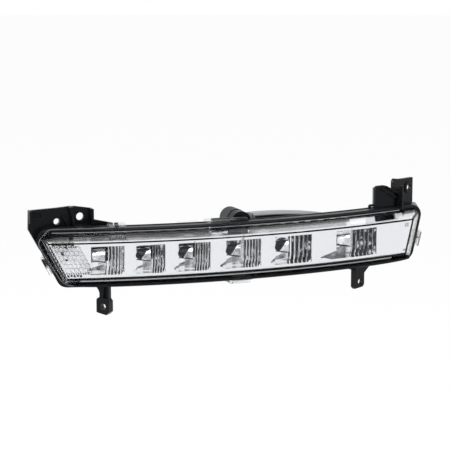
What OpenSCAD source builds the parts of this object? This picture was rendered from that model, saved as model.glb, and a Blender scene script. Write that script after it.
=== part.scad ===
// Daytime running light for a car bumper, swept round the corner of the car.
// X runs to the right of someone facing the lamp, Y points back into the car, Z points up.
// The origin is the middle of the lens front, which is the lamp's centre of reference.

/* [Sweep] */
// Plan radius of the lens front
sweep_r = 540; // [480:5:620]
// Angle between the lens front and the X axis at the origin
sweep_mid = 20.7; // [16:0.1:24]

/* [Front outline] */
// Left end of the rim at its top edge, from the origin
rim_left = 161.8; // [156:0.1:170]
// Right end of the rim at its top edge, from the origin
rim_right = 158; // [152:0.1:164]
// Height of the rim above the origin
rim_top = 22.4; // [21:0.1:25]
// Height of the rim below the origin
rim_bottom = 24; // [22.5:0.1:26]
// Slant of the left end from upright
left_slant = 27.4; // [20:0.1:30]
// Slant of the right end from upright
right_slant = 12.6; // [8:0.1:18]
// Corner radius of the rim, seen from the front
rim_corner_r = 9; // [7:0.5:11]

/* [Lens] */
// Wall of the lens
lens_t = 2.3; // [1.8:0.1:2.8]
// Depth of the drafted part of the lens
lens_draft_d = 15; // [13:0.5:17]
// How far the lens front lies inside the rim outline
lens_front_inset = 8.4; // [7.5:0.1:9.2]
// How far the lens foot lies inside the rim outline
lens_foot_inset = 3.1; // [2.9:0.1:3.6]
// Depth of the end of the lens foot
lens_foot_d = 20; // [19:0.5:21]

/* [Housing] */
// Depth of the rim edge behind the lens front
rim_front_d = 14.5; // [14:0.1:15.5]
// Chamfer along the front edge of the rim
rim_chamfer = 1.4; // [0.8:0.1:2]
// Depth of the back face of the housing
housing_d = 34; // [33:0.5:36]
// Depth where the top of the housing bends down towards its back edge
back_bend_d = 25.6; // [25:0.1:27]
// Drop of the top from the bend to the back edge
back_drop = 2.2; // [1.8:0.1:2.6]
// Wall of the housing
housing_t = 2.4; // [2:0.1:2.8]
// Depth of the floor of the glue channel
channel_d = 22; // [21.5:0.1:23]
// Outer wall of the glue channel
channel_out_t = 2.6; // [2.2:0.1:2.8]
// Inner edge of the glue channel, from the rim outline
channel_in = 6.2; // [6:0.1:6.6]
// Inner edge of the housing mouth, from the rim outline
mouth_inset = 8.2; // [8:0.1:8.6]
// Number of ribs along each long side of the back
back_ribs = 11; // [7:1:15]
// Thickness of the ribs at the back
back_rib_t = 1.8; // [1.4:0.1:2.4]

/* [Fixings] */
// Diameter of the locating hole in the upper left bracket
locate_hole_d = 5; // [4.5:0.1:5.6]
// Diameter of the slotted screw hole in the upper left bracket
left_hole_d = 6.2; // [5.5:0.1:6.6]
// Diameter of the screw hole in the upper right bracket
right_hole_d = 5.5; // [5:0.1:6.2]
// Diameter of the screw holes in the two legs
leg_hole_d = 5.3; // [4.8:0.1:5.8]
// Thickness of the bracket plates
bracket_t = 2.8; // [2.4:0.1:3.4]
// Height of the upper left bracket above the origin
left_bracket_top = 37.4; // [35:0.1:40]
// Height of the upper right bracket above the origin
right_bracket_top = 45.4; // [43:0.1:48]
// Depth of the left leg's foot below the origin
left_leg_bottom = 47.8; // [46:0.1:50]
// Depth of the right leg below the origin
right_leg_bottom = 43; // [42:0.1:46]

/* [Reflector] */
// Wall of the reflector moulding
reflector_t = 1.8; // [1.4:0.1:2]
// Depth of the reflector face behind the lens front
reflector_d = 6.5; // [6:0.1:7]
// Depth of the reflector skirt behind the lens front
reflector_skirt_d = 20; // [18:0.5:21]
// How far the reflector lies inside the rim outline
reflector_inset = 9.6; // [9.4:0.1:10]
// Wall of the reflector's sloping edge beside the lens wall
flange_t = 1.2; // [1:0.1:1.4]
// Clearance between the sloping edge and the lens wall
flange_gap = 0.8; // [0.6:0.1:1]
// Top of the cups above the origin
cup_top = 9.8; // [9:0.1:10.4]
// Spacing of the broad flutes
flute_pitch = 3.4; // [3:0.1:3.8]
// Radius of the broad flutes
flute_r = 2.1; // [2:0.05:2.4]
// Length of the shade over each light source
shade_l = 11.5; // [9:0.1:12]
// Radius of the shade at its root
shade_root_r = 4.5; // [4.2:0.1:5]
// Radius of the shade at its mouth
shade_mouth_r = 5.9; // [5.4:0.1:6.2]
// Height of the light sources above the origin
source_z = 1.4; // [0.6:0.1:2]

/* [Electronics] */
// Thickness of the heat sink sheet
sink_t = 2; // [1.5:0.1:2.2]
// How far the front of the heat sink strip stands before the back face of the housing
sink_room = 6.8; // [6.5:0.1:7]
// Thickness of the flexible circuit
circuit_t = 0.3; // [0.2:0.05:0.4]
// Width of the driver cover
cover_w = 66; // [60:1:68]
// Top of the driver cover above the origin
cover_top = 23.5; // [23.1:0.1:24.5]
// Bottom of the driver cover below the origin
cover_bottom = 17; // [15:0.5:19]
// Height of the driver cover behind its gasket
cover_h = 9; // [8:0.5:11]
// Wall of the driver cover
cover_t = 2; // [1.8:0.1:2.4]
// Wall of the cover's skirt round the driver's well
skirt_t = 1.5; // [1.2:0.1:1.8]

/* [Vent and connector] */
// Outer radius of the vent cap
vent_r = 8.8; // [8:0.1:9.2]
// Length of the vent cap
vent_l = 15; // [12:0.5:16]
// Height of the vent axis above the origin
vent_z = 20.4; // [19.8:0.1:21.4]
// Width of the connector socket
socket_w = 22; // [20:0.5:25]
// Height of the connector socket
socket_h = 15; // [13:0.5:15.5]
// Length of the connector socket
socket_l = 21; // [18:0.5:25]

/* [Hidden] */
$fn = 64;

// Clearance between a piece and the piece beside it
gap = 0.3;
// Side of a block that is larger than the lamp
block = 900;
// How far a cutter runs past what it cuts
over = 1;
// Depth of the heat sink strip behind the lens front
sink_d = housing_d - sink_room;
// Facets of a full turn of the long sweep
sweep_fn = 720;
// Straight steps along each rounded corner of an outline
arc_steps = 9;

// Centre of the sweep in plan
sweep_x = -sweep_r * sin(sweep_mid);
sweep_y = sweep_r * cos(sweep_mid);
// Directions where the swept solids start and end
sweep_from = -6;
sweep_to = 50;

// Stations of the six cups along X: left wall of the cup, right edge of the cup
cup_left = [-113.5, -78.7, -46, -8.7, 30.4, 80.5];
cup_right = [-87.7, -56.2, -21, 19, 60, 114.7];
// Depth of each cup at its left wall
cup_depth = [12, 12, 12.5, 13, 13.5, 15];
// Length of the pointed floor that runs out to the left of each cup
cup_point = [3, 3, 4, 5.1, 3.6, 13.2];
// Spacing of the flutes in each cup, narrow in the first four
cup_pitch = [0.8, 0.62, 0.62, 0.7, 1, 1] * flute_pitch;
cups = [0 : 5];

// Colours as the photograph shows them
black = [0.06, 0.06, 0.07];
clear = [0.86, 0.9, 0.93, 0.35];
chrome = [0.86, 0.87, 0.89];
aluminium = [0.72, 0.74, 0.76];

function plan_y(x, d) = sweep_y - sqrt(pow(sweep_r - d, 2) - pow(x - sweep_x, 2));
function plan_angle(x, d) = asin((x - sweep_x) / (sweep_r - d));
function unit(v) = v / norm(v);

// Corners of the rim outline, seen from the front, moved inwards
function outline_points(inset) = [
  [-rim_left + tan(left_slant) * inset + inset / cos(left_slant), rim_top - inset],
  [rim_right - tan(right_slant) * inset - inset / cos(right_slant), rim_top - inset],
  [rim_right - tan(right_slant) * (rim_top + rim_bottom - inset) - inset / cos(right_slant), inset - rim_bottom],
  [-rim_left + tan(left_slant) * (rim_top + rim_bottom - inset) + inset / cos(left_slant), inset - rim_bottom]
];

// Moves a piece to a direction on the sweep, with its Y axis along the local depth
module at_sweep(angle, d = 0) {
  translate([sweep_x + (sweep_r - d) * sin(angle), sweep_y - (sweep_r - d) * cos(angle), 0])
    rotate([0, 0, angle])
      children();
}

// Moves a piece to a place along X on the sweep
module at_x(x, d = 0) {
  at_sweep(plan_angle(x, d), d)
    children();
}

// Turns a cross-section, given as depth and height, round the centre of the sweep
module swept(points) {
  translate([sweep_x, sweep_y, 0])
    rotate([0, 0, sweep_from - 90])
      rotate_extrude(angle = sweep_to - sweep_from, $fn = sweep_fn)
        polygon([for (p = points) [sweep_r - p[0], p[1]]]);
}

// A swept band with a rectangular section
module band(d0, d1, z0, z1) {
  swept([[d0, z0], [d1, z0], [d1, z1], [d0, z1]]);
}

// Extrudes a front view along Y, between two places on the Y axis
module along_y(y0 = -60, y1 = 170) {
  translate([0, y1, 0])
    rotate([90, 0, 0])
      linear_extrude(y1 - y0)
        children();
}

// Points of the arc that rounds corner p, between its neighbours a and b
function corner_arc(p, a, b, r) =
  let (
    u = unit(a - p),
    v = unit(b - p),
    half = acos(u * v) / 2,
    middle = p + unit(u + v) * r / sin(half),
    first = p + u * r / tan(half) - middle,
    last = p + v * r / tan(half) - middle,
    turn = (180 - 2 * half) * sign(cross(first, last)),
    start = atan2(first[1], first[0])
  )
  [for (k = [0 : arc_steps]) middle + r * [cos(start + turn * k / arc_steps), sin(start + turn * k / arc_steps)]];

// A convex polygon with rounded corners
module rounded(points, r) {
  n = len(points);
  polygon([for (i = [0 : n - 1]) each corner_arc(points[i], points[(i + n - 1) % n], points[(i + 1) % n], r)]);
}

// The rim outline, moved inwards
module outline(inset = 0) {
  rounded(outline_points(inset), max(rim_corner_r - inset, 2));
}

// A solid of the rim outline between two heights, moved inwards
module outline_bar(inset = 0) {
  along_y()
    outline(inset);
}

// Cross-section of the lens, thinned from its outside by a wall
function lens_section(wall) = [
  [wall, rim_top - lens_front_inset - wall * (1 - lens_slope)],
  [lens_draft_d, rim_top - lens_foot_inset - wall],
  [lens_foot_d + (wall > 0 ? over : 0), rim_top - lens_foot_inset - wall],
  [lens_foot_d + (wall > 0 ? over : 0), lens_foot_inset + wall - rim_bottom],
  [lens_draft_d, lens_foot_inset + wall - rim_bottom],
  [wall, lens_front_inset - rim_bottom + wall * (1 - lens_slope)]
];
lens_slope = (lens_front_inset - lens_foot_inset) / lens_draft_d;

// Space inside the drafted end face of the lens: side is 0 for the left end and 1 for the right end
module lens_end(side, wall) {
  corner = outline_points(lens_front_inset)[side];
  low_corner = outline_points(lens_front_inset)[3 - side];
  slant = side == 0 ? left_slant : right_slant;
  y_front = plan_y(corner[0], 0);
  lean = atan((y_front - plan_y(low_corner[0], 0)) / (corner[1] - low_corner[1]));
  draft_y = lens_draft_d / cos(plan_angle(corner[0], 0));
  translate([corner[0], y_front, corner[1]])
    rotate([-lean, 0, 0])
      rotate([0, side == 0 ? -slant : 180 + slant, 0])
        rotate([0, 0, atan((lens_front_inset - lens_foot_inset) / draft_y)])
          translate([wall, -block / 2, -block / 2])
            cube(block);
}

// The lens as a solid block, or the space inside it
module lens_form(wall) {
  intersection() {
    swept(lens_section(wall));
    outline_bar(lens_foot_inset + wall);
    lens_end(0, wall);
    lens_end(1, wall);
  }
}

// Clips that hold the lens on the rim: side, place along X (or height on an end), width
clips = [
  ["top", -90.6, 13.4], ["top", -4.6, 27], ["bottom", 7.7, 16.6], ["left", -5.5, 15], ["right", -5.5, 12]
];
clip_strap_t = 1.6;
clip_strap_z = 0.9;
clip_front_d = 11.6;
clip_web_t = 1.8;
clip_back_d = 27;
clip_window_d = 19;
clip_window_l = 5.6;
clip_side_w = 5;
clip_hook_h = 2.9;

// Puts children at a clip's place, with Z pointing outwards from the rim face
module at_clip(clip) {
  place = clip[1];
  if (clip[0] == "top") {
    at_x(place)
      translate([0, 0, rim_top])
        children();
  }
  if (clip[0] == "bottom") {
    at_x(place)
      translate([0, 0, -rim_bottom])
        rotate([0, 180, 0])
          children();
  }
  if (clip[0] == "left") {
    x = -rim_left + tan(left_slant) * (rim_top - place);
    translate([x, plan_y(x, 0), place])
      rotate([0, -90 - left_slant, 0])
        children();
  }
  if (clip[0] == "right") {
    x = rim_right - tan(right_slant) * (rim_top - place);
    translate([x, plan_y(x, 0), place])
      rotate([0, 90 + right_slant, 0])
        children();
  }
}

// A clear loop that reaches back over the rim
module clip_loop(w) {
  difference() {
    translate([-w / 2, clip_front_d, clip_strap_z])
      cube([w, clip_back_d - clip_front_d, clip_strap_t]);
    translate([-w / 2 + clip_side_w, clip_window_d, clip_strap_z - over])
      cube([w - 2 * clip_side_w, clip_window_l, clip_strap_t + 2 * over]);
  }
  translate([-w / 2, clip_front_d, -lens_foot_inset - 1.7])
    cube([w, clip_web_t, lens_foot_inset + 1.7 + clip_strap_z + over / 2]);
}

// The hook on the housing that snaps into a loop
module clip_hook(w) {
  hook_w = w - 2 * clip_side_w - 2 * gap;
  translate([-hook_w / 2, 0, 0])
    rotate([90, 0, 90])
      linear_extrude(hook_w)
        polygon([
          [clip_window_d + gap, -over],
          [clip_window_d + gap, 0.4],
          [clip_window_d + clip_window_l - gap - 1.2, clip_hook_h],
          [clip_window_d + clip_window_l - gap, clip_hook_h],
          [clip_window_d + clip_window_l - gap, -over]
        ]);
}

// Heights where the right bracket and the legs grow out of the rim
root_z = rim_top - 3;
leg_root_z = 2 - rim_bottom;
// Frames of the brackets and legs: place in plan and turn about Z
left_bracket_at = [-138, -5, 0];
left_bracket_turn = 20;
right_bracket_at = [140, 110, 0];
right_bracket_turn = 50;
left_leg_at = [-104.5, -4, 0];
left_leg_turn = -25;
right_leg_at = [100.6, 76, 0];
right_leg_turn = 48;
// Holes in the frames of their brackets: place along the plate and height
locate_hole = [-3.7, 26.9];
left_hole = [16.7, 29];
right_hole = [7.8, 35.6];
left_leg_hole = [0, -41.3];
right_leg_hole = [1.6, -37.6];

module in_frame(at, turn) {
  translate(at)
    rotate([0, 0, turn])
      children();
}

// A hole along Y in the current frame
module hole_y(place, d, y0 = -20, y1 = 20) {
  translate([place[0], y0, place[1]])
    rotate([-90, 0, 0])
      cylinder(d = d, h = y1 - y0);
}

// A plate of a front view, from one depth to another in the current frame
module plate(y0, y1) {
  translate([0, y1, 0])
    rotate([90, 0, 0])
      linear_extrude(y1 - y0)
        children();
}

// Upper left bracket: a ribbed plate with a locating hole and a recessed screw pad
module left_bracket() {
  top = left_bracket_top;
  pad_l = 10.4;
  pad_r = 24.6;
  pad_low = 22.6;
  pad_set = 4.4;
  pad_drop = 2.5;
  difference() {
    union() {
      plate(0, bracket_t)
        polygon([
          [-26, top - 0.8], [-3, top + 0.1], [7.5, top + 0.9], [pad_r + 2, top + 0.9], [pad_r + 2, 12],
          [4, 8], [-17.4, 5], [-26.4, 21.5]
        ]);
      // Deep box round the screw pad
      translate([pad_l - 2, -1.2, pad_low - 3])
        cube([pad_r - pad_l + 4, pad_set + bracket_t + 1.2, top - pad_low + 3]);
      // Gusset from the box down to the rim
      plate(0, bracket_t)
        polygon([[pad_r + 1, 27], [pad_r + 18, rim_top + 0.6], [pad_r + 18, 16], [pad_r + 1, 12]]);
      // Turned edge on the left
      translate([-26, -3.4, 26.5])
        cube([2.2, 4.4, top - 27.3]);
      // Boss round the locating hole
      translate([locate_hole[0], 0, locate_hole[1]])
        rotate([90, 0, 0])
          cylinder(r = locate_hole_d / 2 + 1.6, h = 1);
      // Two ribs that lean towards the rim
      plate(-4.6, 1)
        polygon([[6, top + 0.7], [8.2, top + 0.9], [12, 20], [9.4, 20]]);
      plate(-2.6, 1)
        polygon([[0.2, 30.8], [1.8, 32.4], [8, 20], [6, 20]]);
    }
    translate([pad_l, -20, pad_low])
      cube([pad_r - pad_l, 20 + pad_set, top - pad_low + 2 * over]);
    hole_y(left_hole, left_hole_d);
    hole_y(locate_hole, locate_hole_d);
    // Shallow slot beside the turned edge
    translate([-22.6, -over, 30.5])
      cube([6.4, 1.2 + over, 3.6]);
    // The top slopes down to the right
    plate(-10, 10)
      polygon([[7.5, top + 0.9], [pad_r + 2 + over, top - pad_drop], [pad_r + 2 + over, top + 6], [7.5, top + 6]]);
  }
}

// Upper right bracket: a ribbed box in front and a taller plate with the screw hole behind it
module right_bracket() {
  top = right_bracket_top;
  box_top = 41;
  box_x = 115.2;
  box_y = 84.6;
  box_turn = 34;
  box_l = 9;
  plate_l = -13.6;
  in_frame([box_x, box_y, 0], box_turn) {
    plate(0, bracket_t)
      intersection() {
        translate([0, root_z])
          square([20.5, box_top - root_z]);
        union() {
          translate([3, box_top - 3])
            circle(3);
          polygon([[3, box_top], [9.5, box_top], [20.5, 34.5], [20.5, root_z], [0, root_z], [0, box_top - 3], [3, box_top - 3]]);
        }
      }
    // Side wall that runs straight back
    translate([0, 0, root_z])
      linear_extrude(box_top - 3 - root_z)
        polygon([
          [0, bracket_t - 0.1], [2, bracket_t - 0.1],
          [2 + box_l * tan(box_turn), bracket_t + box_l], [box_l * tan(box_turn), bracket_t + box_l]
        ]);
    // Small hook beside the box
    plate(3.6, 6)
      polygon([
        [0.9, root_z], [-3, root_z], [-3, root_z + 4.6], [-1.8, root_z + 5.9], [0.9, root_z + 5.9],
        [0.9, root_z + 4.4], [-1.3, root_z + 4.2], [-1.6, root_z + 3.4], [-1.6, root_z + 1], [0.9, root_z + 1]
      ]);
    // Leaning ribs on the face of the box
    plate(-2.4, 1)
      polygon([[7.6, box_top - 0.2], [9.5, box_top], [24, 34], [23.2, 32.4]]);
    plate(-1.6, 1)
      polygon([[5.6, box_top - 3.4], [6.6, box_top - 1.8], [21.4, 30.6], [20.4, 29.2]]);
  }
  in_frame(right_bracket_at, right_bracket_turn) {
    difference() {
      union() {
        plate(0, bracket_t)
          union() {
            polygon([
              [plate_l, root_z], [plate_l, top - 3.5], [plate_l + 3, top - 0.5], [-4, top - 1.6],
              [14.6, top - 2], [14.6, root_z]
            ]);
            translate([plate_l + 3, top - 3.5])
              circle(3);
          }
        translate([right_hole[0], 0, right_hole[1]])
          rotate([90, 0, 0])
            cylinder(r = right_hole_d / 2 + 2.2, h = 0.9);
      }
      hole_y(right_hole, right_hole_d);
      // Relief behind the screw hole
      translate([0, bracket_t - 1, 0])
        hole_y(right_hole, right_hole_d + 3.4, 0, 3);
    }
    // Webs that brace the plate down to the housing
    plate(-9, 1)
      polygon([[plate_l, root_z], [plate_l + 2, root_z], [plate_l + 2, 40], [plate_l, 40]]);
    plate(bracket_t - 0.1, 8)
      polygon([[-1, root_z], [1, root_z], [1, 31], [-1, 29]]);
  }
}

// Left leg: a strut with a fillet and a fin, and a foot turned towards the car's centre
module left_leg() {
  low = -left_leg_bottom;
  in_frame(left_leg_at, left_leg_turn) {
    difference() {
      union() {
        plate(-3.4, 3.4)
          polygon([
            [-5.6, -35.6], [-4.2, -34.2], [3.4, -34.2], [5.6, -37], [5.6, low + 2.4], [3.2, low],
            [-4.4, low + 1.4], [-5.6, low + 2]
          ]);
        plate(-1.3, 3)
          polygon([[-4, -36], [4.2, -36], [4.2, leg_root_z], [-4, leg_root_z]]);
        plate(-3.4, 1)
          polygon([[-1.6, -35], [0.4, -35], [1.8, leg_root_z], [0, leg_root_z]]);
      }
      hole_y(left_leg_hole, leg_hole_d);
    }
    // Fillet between the strut and the rim
    plate(-1.3, 3)
      difference() {
        polygon([[-9, leg_root_z], [-9, -23.6], [-3.8, -33], [-3.8, leg_root_z]]);
        translate([-13.4, -33.4])
          circle(9.8);
      }
  }
}

// Right leg: a flat tongue with a gusset
module right_leg() {
  low = -right_leg_bottom;
  in_frame(right_leg_at, right_leg_turn) {
    difference() {
      plate(-bracket_t / 2, bracket_t / 2)
        polygon([[-11.6, leg_root_z], [-11.6, -25], [-9.4, -26.2], [-7.2, -26.4], [-7.2, low + 2], [-5.2, low], [5.6, low + 0.6], [7.2, low + 3], [7.2, -31], [17, -24], [17, leg_root_z]]);
      hole_y(right_leg_hole, leg_hole_d);
    }
    plate(-bracket_t / 2 - 2.4, -bracket_t / 2 + 0.1)
      polygon([[-7.2, leg_root_z], [-5.4, leg_root_z], [-5.4, -31], [-7.2, -32.4]]);
    plate(bracket_t / 2 - 0.1, bracket_t / 2 + 3)
      polygon([[3, leg_root_z], [5, leg_root_z], [5, -30], [3, -32]]);
  }
}

// Direction of the driver cover, the vent and the connector on the sweep
vent_x = 14;
driver_x = vent_x + vent_r + cover_w / 2 - 11.8;
socket_x = -34;
driver_angle = plan_angle(driver_x, housing_d);
// The well that holds the driver stands this far off the back face
well_h = 8;
// Row of pins that joins the driver to the flexible circuit: height, spacing and number each side
link_z = -6;
link_pitch = 2.54;
link_row = [-2 : 2];
well_t = 2.2;
gasket_t = 1;

module at_driver() {
  at_sweep(driver_angle, housing_d)
    children();
}

// Crown of the driver cover: place along the cover and radius
cover_arch_x = -26.8;
cover_arch_r = 340;

// Outline of the driver cover with its arched top
module cover_outline(inset = 0) {
  intersection() {
    translate([-cover_w / 2 + inset, -cover_bottom + inset])
      square([cover_w - 2 * inset, cover_bottom + cover_top - 2 * min(inset, 0)]);
    translate([cover_arch_x, cover_top - cover_arch_r])
      circle(cover_arch_r - inset, $fn = 512);
  }
}
screw_places = [
  [-cover_w / 2 + 5.2, -cover_bottom + 5.2], [cover_w / 2 - 5.2, -cover_bottom + 5.2],
  [-cover_w / 2 + 5.2, cover_top - 13], [cover_w / 2 - 5.2, cover_top - 13]
];
screw_boss_r = 3.6;
cover_screw_r = 1.5;

// Places of the screws along X for the heat sink and the reflector
sink_screw_x = [-121, -17.8, 68.5, 122];
sink_screw_z = 4.5;
// Ends of the heat sink strip, beyond its first and last screw
sink_end = 3.4;
sink_left = sweep_x + (sweep_r - sink_d) * sin(plan_angle(sink_screw_x[0], 0)) - sink_end;
sink_right = sweep_x + (sweep_r - sink_d) * sin(plan_angle(sink_screw_x[3], 0)) + sink_end;
reflector_screw_x = [-130, 134];
post_r = 3.2;
self_tap_r = 1.25;
spigot_r = 5.4;
spigot_bore_r = 3.1;
membrane_r = 4.2;
// Depths of the vent's root, boss, spigot and membrane, from the back face of the housing
vent_root_d = housing_d - 6.4;
vent_boss_d = housing_d + 3;
duct_low = 8;
spigot_l = 10;
spigot_d = vent_boss_d + spigot_l;
membrane_d = spigot_d - 1.4;
// Height of the middle of the connector socket
socket_z = 11.5;

// Black moulded body with its glue channel, brackets, legs, hooks and well
module housing() {
  color(black)
    difference() {
      union() {
        difference() {
          intersection() {
            swept([
              [rim_front_d, rim_chamfer - rim_bottom], [rim_front_d + rim_chamfer, -rim_bottom],
              [housing_d, -rim_bottom], [housing_d, rim_top - back_drop], [back_bend_d, rim_top],
              [rim_front_d + rim_chamfer, rim_top], [rim_front_d, rim_top - rim_chamfer]
            ]);
            outline_bar();
          }
          // Glue channel
          difference() {
            intersection() {
              band(rim_front_d - over, channel_d, -rim_bottom, rim_top);
              outline_bar(channel_out_t);
            }
            outline_bar(channel_in);
          }
          // Space behind the mouth
          intersection() {
            band(rim_front_d - over, housing_d - housing_t, -rim_bottom, rim_top);
            outline_bar(mouth_inset);
          }
          // Hollow back of the channel
          difference() {
            intersection() {
              swept([
                [channel_d + housing_t, -rim_bottom], [housing_d + over, -rim_bottom],
                [housing_d + over, rim_top - housing_t - back_drop * (1 + over / (housing_d - back_bend_d))],
                [back_bend_d, rim_top - housing_t], [channel_d + housing_t, rim_top - housing_t]
              ]);
              outline_bar(housing_t);
            }
            outline_bar(mouth_inset - housing_t);
            for (i = [1 : back_ribs]) {
              at_sweep(sweep_ends[0] + i * (sweep_ends[1] - sweep_ends[0]) / (back_ribs + 1), channel_d)
                translate([-back_rib_t / 2, 0, -30])
                  cube([back_rib_t, 20, 60]);
            }
          }
        }
        // Bead along the bend of the top and along the bottom of the back edge
        intersection() {
          union() {
            band(back_bend_d - 1.6, back_bend_d - 0.2, rim_top - over, rim_top + 0.5);
            band(housing_d - 3, housing_d - 1.4, -rim_bottom - 0.6, -rim_bottom + over);
          }
          along_y()
            translate([-140, -40])
              square([280, 80]);
        }
        // Brackets and legs, kept out of the channel and the cavity
        difference() {
          union() {
            in_frame(left_bracket_at, left_bracket_turn)
              left_bracket();
            right_bracket();
            left_leg();
            right_leg();
          }
          intersection() {
            band(rim_front_d - over, housing_d - housing_t / 2, -rim_bottom, rim_top);
            outline_bar(channel_out_t);
          }
        }
        for (clip = clips) {
          at_clip(clip)
            clip_hook(clip[2]);
        }
        // Well for the driver
        at_driver()
          plate(-housing_t, well_h)
            cover_outline();
        // Boss and spigot for the vent
        at_x(vent_x)
          translate([0, 0, vent_z])
            rotate([-90, 0, 0]) {
              translate([0, 0, vent_root_d])
                cylinder(r = vent_r - 0.4, h = vent_boss_d - vent_root_d);
              translate([0, 0, vent_root_d])
                cylinder(r = spigot_r, h = spigot_d - vent_root_d);
            }
        // Bosses for the heat sink
        for (x = sink_screw_x) {
          at_x(x)
            translate([0, sink_d + sink_t + 0.05, sink_screw_z])
              rotate([-90, 0, 0])
                cylinder(r = post_r + 0.4, h = housing_d - sink_d - sink_t - 0.2);
        }
        // Seats for the reflector posts
        for (x = reflector_screw_x) {
          at_x(x)
            translate([0, housing_d - housing_t - 1, 0])
              rotate([-90, 0, 0])
                cylinder(r = post_r + 1.4, h = housing_t + 0.6);
        }
      }
      // Room for the driver
      at_driver() {
        difference() {
          plate(0, well_h + over)
            cover_outline(well_t);
          for (p = screw_places) {
            translate([p[0], -over, p[1]])
              rotate([-90, 0, 0])
                cylinder(r = screw_boss_r, h = well_h + 3 * over);
          }
        }
        for (p = screw_places) {
          translate([p[0], 1, p[1]])
            rotate([-90, 0, 0])
              cylinder(r = cover_screw_r - 0.25, h = well_h);
        }
        // Way through for the link pins
        translate([-8, -housing_t - 3, link_z - 4])
          cube([16, housing_t + 6, 8]);
      }
      at_x(vent_x)
        translate([0, 0, vent_z])
          rotate([-90, 0, 0]) {
            translate([0, 0, vent_root_d + 1.6])
              cylinder(r = spigot_bore_r, h = spigot_d - vent_root_d);
            translate([0, 0, membrane_d])
              cylinder(r = membrane_r, h = spigot_d - membrane_d + over);
          }
      // Duct from the vent down to the space behind the reflector
      at_x(vent_x)
        translate([0, vent_root_d + 3.6, duct_low])
          cylinder(r = 1.8, h = vent_z - duct_low);
      for (x = sink_screw_x) {
        at_x(x)
          translate([0, sink_d, sink_screw_z])
            rotate([-90, 0, 0])
              cylinder(r = self_tap_r + 0.05, h = housing_d - sink_d - 1.2);
      }
      for (x = reflector_screw_x) {
        at_x(x)
          translate([0, housing_d - housing_t - 3, 0])
            rotate([-90, 0, 0])
              cylinder(r = self_tap_r + 0.35, h = housing_t + 6);
      }
      // Way through for the connector
      at_x(socket_x, housing_d)
        translate([-socket_w / 2 + 3, -housing_t - over, socket_z - 2.5])
          cube([socket_w - 6, housing_t + 2 * over, 5]);
    }
}
sweep_ends = [plan_angle(-rim_left + 24, 0), plan_angle(rim_right - 10, 0)];

// Clear outer lens: drafted shell with a foot all round and five snap loops
module outer_lens() {
  color(clear)
    difference() {
      union() {
        lens_form(0);
        for (clip = clips) {
          at_clip(clip)
            clip_loop(clip[2]);
        }
      }
      lens_form(lens_t);
    }
}

// Bead of sealing compound under the lens foot
module lens_seal() {
  color([0.2, 0.2, 0.22])
    difference() {
      intersection() {
        band(lens_foot_d, channel_d, -rim_bottom, rim_top);
        outline_bar(channel_out_t);
      }
      outline_bar(channel_in);
    }
}

// Back wall of a cup: depth below the reflector face at a share of the cup's width
function cup_fall(i, t) = cup_depth[i] * (1 - t * t);
function cup_x(i, t) = cup_left[i] + t * (cup_right[i] - cup_left[i]);
function cup_y(i, t) = plan_y(cup_x(i, t), reflector_d) + cup_fall(i, t);
cup_bottom = reflector_inset + reflector_t - rim_bottom;
// Wall round the cups, thick enough behind the flutes
cup_wall = reflector_t + 0.9;
cup_steps = 8;
// Share of the cup's width where the flutes begin
flute_from = 0.44;
source_back = [7, 7, 7, 7, 7.8, 9.4];
aperture_r = 3;

// Plan of a cup's hollow, or of its outside when grown by a wall
module cup_plan(i, grow = 0) {
  xl = cup_left[i] - grow;
  xr = cup_right[i] + grow;
  front = plan_y(cup_left[i], reflector_d) - 12 + (grow > 0 ? 12 + reflector_t / 2 : 0);
  polygon(concat(
    [[xl, front]],
    [[xl, cup_y(i, 0) + grow]],
    [for (s = [1 : cup_steps]) [cup_x(i, s / cup_steps), cup_y(i, s / cup_steps) + grow]],
    [[xr, cup_y(i, 1) + grow]],
    [[xr, plan_y(xr, reflector_d) + (grow > 0 ? reflector_t / 2 : -12)]]
  ));
}

// Upright flutes along the back wall of a cup
module cup_flutes(i) {
  pitch = cup_pitch[i];
  r = flute_r * pitch / flute_pitch;
  width = cup_right[i] - cup_left[i];
  count = floor(width * (1 - flute_from) / pitch);
  intersection() {
    for (k = [0 : count - 1]) {
      t = 1 - (k + 0.5) * pitch / width;
      translate([cup_x(i, t), cup_y(i, t) - r * 0.55, cup_bottom])
        cylinder(r = r, h = cup_top - cup_bottom, $fn = 48);
    }
    translate([cup_left[i], -60, cup_bottom])
      cube([width, 200, cup_top - cup_bottom]);
  }
}

// Pointed floor that runs out to the left of a cup, grown by a wall
module cup_wedge(i, grow = 0) {
  x0 = cup_left[i];
  y0 = plan_y(x0 - cup_point[i], reflector_d);
  along_y(y0 - 12 + (grow > 0 ? 12 + reflector_t / 2 : 0), plan_y(x0, reflector_d) + 7 + grow)
    polygon([
      [x0 - cup_point[i] - 2 * grow, -9.8], [x0 + 0.5, -5.6 + grow], [x0 + 0.5, cup_bottom - grow / 2],
      [x0 - cup_point[i] * 0.3 - 2 * grow, cup_bottom - grow / 2]
    ]);
}

// Half-round shade in front of a light source, open to the right
module cup_shade(i) {
  at_y = plan_y(cup_left[i], reflector_d) + source_back[i];
  translate([cup_left[i] - 0.5, at_y, source_z])
    intersection() {
      difference() {
        rotate([0, 90, 0])
          cylinder(r1 = shade_root_r, r2 = shade_mouth_r, h = shade_l);
        translate([-over, 0, 0])
          rotate([0, 90, 0])
            cylinder(r1 = shade_root_r - 1.3, r2 = shade_mouth_r - 1.1, h = shade_l + 2 * over);
      }
      translate([-over, -10, -10])
        cube([shade_l + 2 * over, 10.6, 20]);
    }
}

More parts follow.
